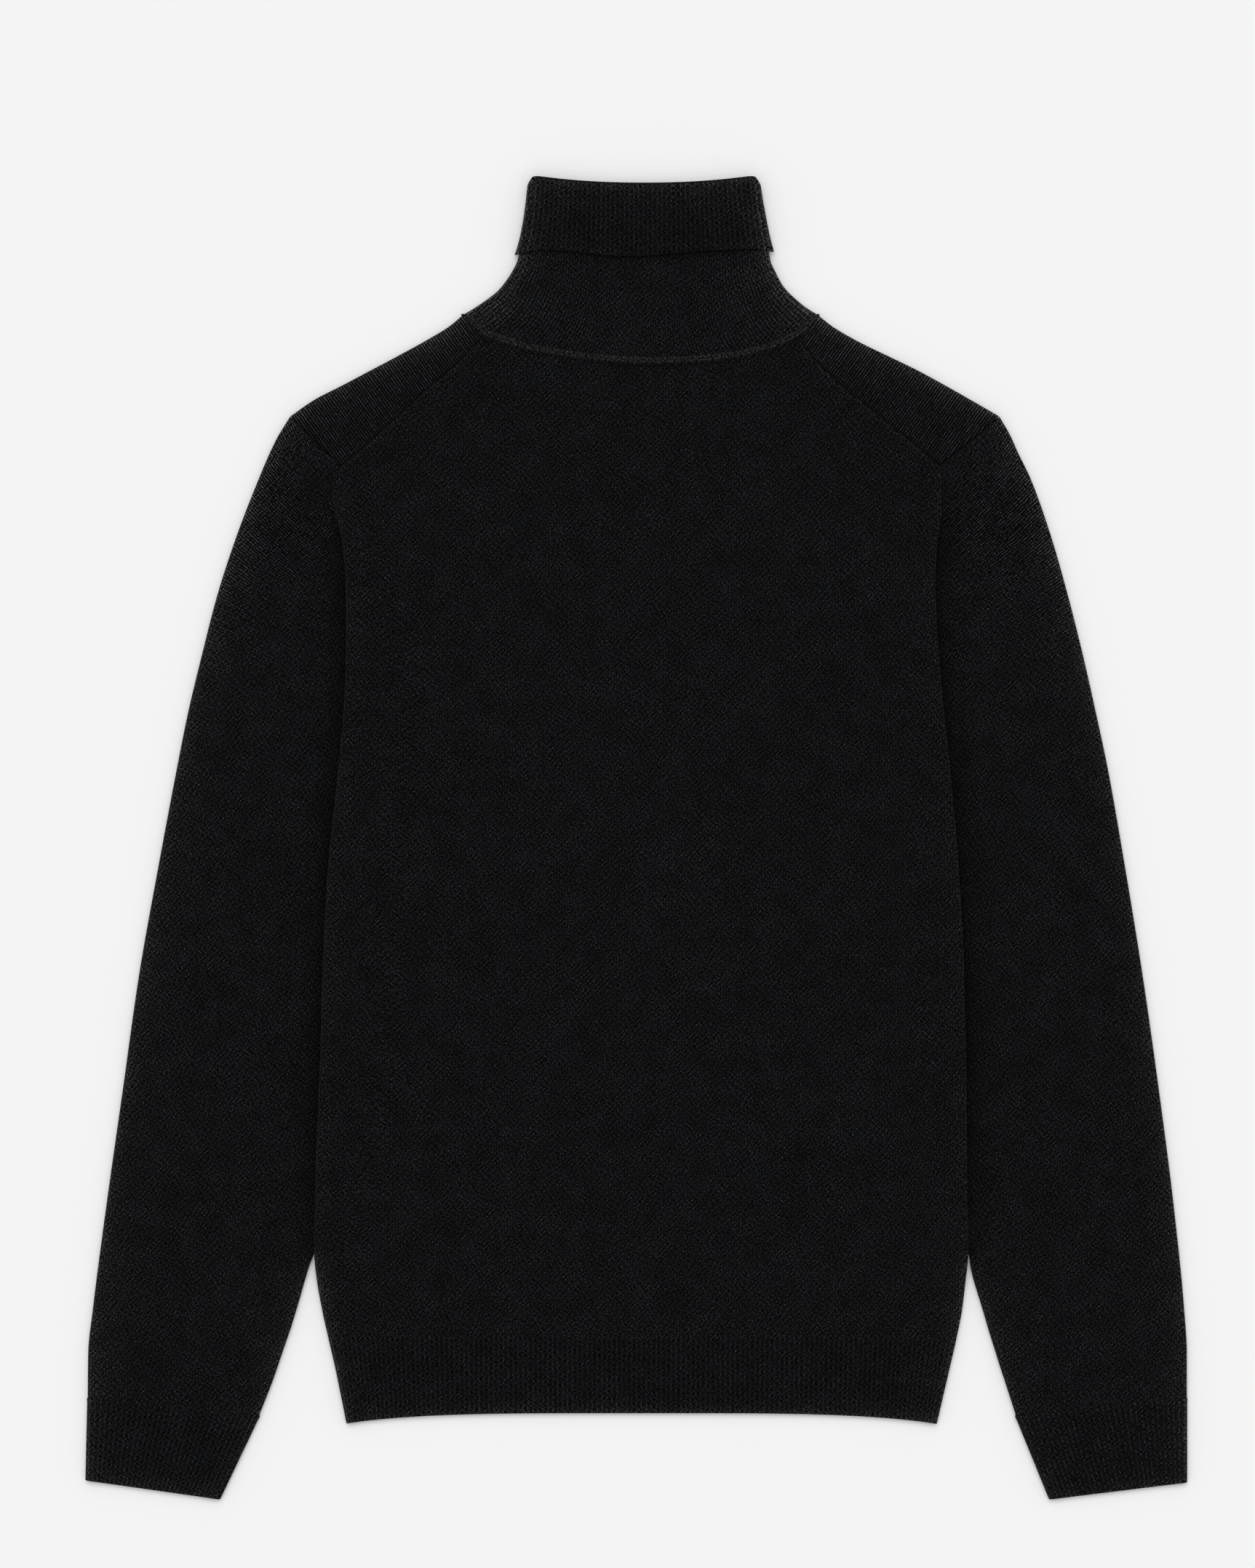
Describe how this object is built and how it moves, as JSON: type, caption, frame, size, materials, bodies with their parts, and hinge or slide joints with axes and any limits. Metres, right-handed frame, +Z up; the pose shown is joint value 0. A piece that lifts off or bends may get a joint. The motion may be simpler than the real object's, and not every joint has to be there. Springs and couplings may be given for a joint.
{
  "type": "turtleneck sweater",
  "caption": "Long-sleeved turtleneck sweater in fine black knit, laid flat on its front, back facing up, with a turned-down rib collar, rib cuffs and a rib hem.",
  "frame": {"origin": "bottom centre of the bounding box, on the surface that the sweater lies on", "axes": "+Z up from the surface, +Y along the garment from the hem towards the collar, +X across it, with the wearer's right sleeve on +X"},
  "size_m": [0.6656, 0.7999, 0.0082],
  "materials": {
    "jersey": "matt, soft wool jersey with a short nap",
    "rib": "matt wool rib, one wale raised and one sunk",
    "linking": "matt wool chain stitches"
  },
  "bodies": {
    "root": {"back": "jersey", "front": "jersey", "sleeve_left": "jersey", "sleeve_right": "jersey", "cuff_left": "rib", "cuff_right": "rib", "hem_back": "rib", "hem_front": "rib", "collar": "rib", "neck_seam": "linking"}
  },
  "joints": []
}
